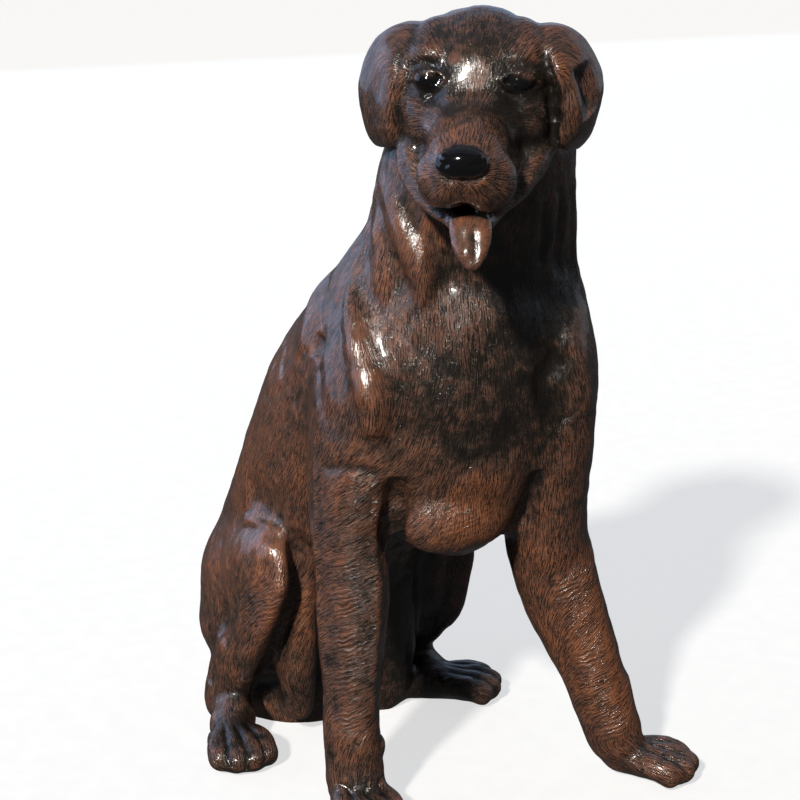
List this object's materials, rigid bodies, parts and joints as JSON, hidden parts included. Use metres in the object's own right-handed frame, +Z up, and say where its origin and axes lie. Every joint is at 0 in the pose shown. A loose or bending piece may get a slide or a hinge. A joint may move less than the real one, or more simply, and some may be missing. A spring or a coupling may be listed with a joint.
{
  "type": "seated dog statue",
  "caption": "Life-size seated retriever-type dog cast hollow in aluminium, looking to one side with its mouth open, brown and black patina under gloss lacquer.",
  "frame": {"origin": "on the ground under the middle of the statue's box", "axes": "+Z up; the dog's hips face -Y, and +X is towards its left side"},
  "size_m": [0.4398, 0.6522, 0.8002],
  "materials": {
    "patina": "cast aluminium with mottled rust-brown over black patina, clear gloss lacquer"
  },
  "bodies": {
    "root": {"dog": "patina"}
  },
  "joints": []
}
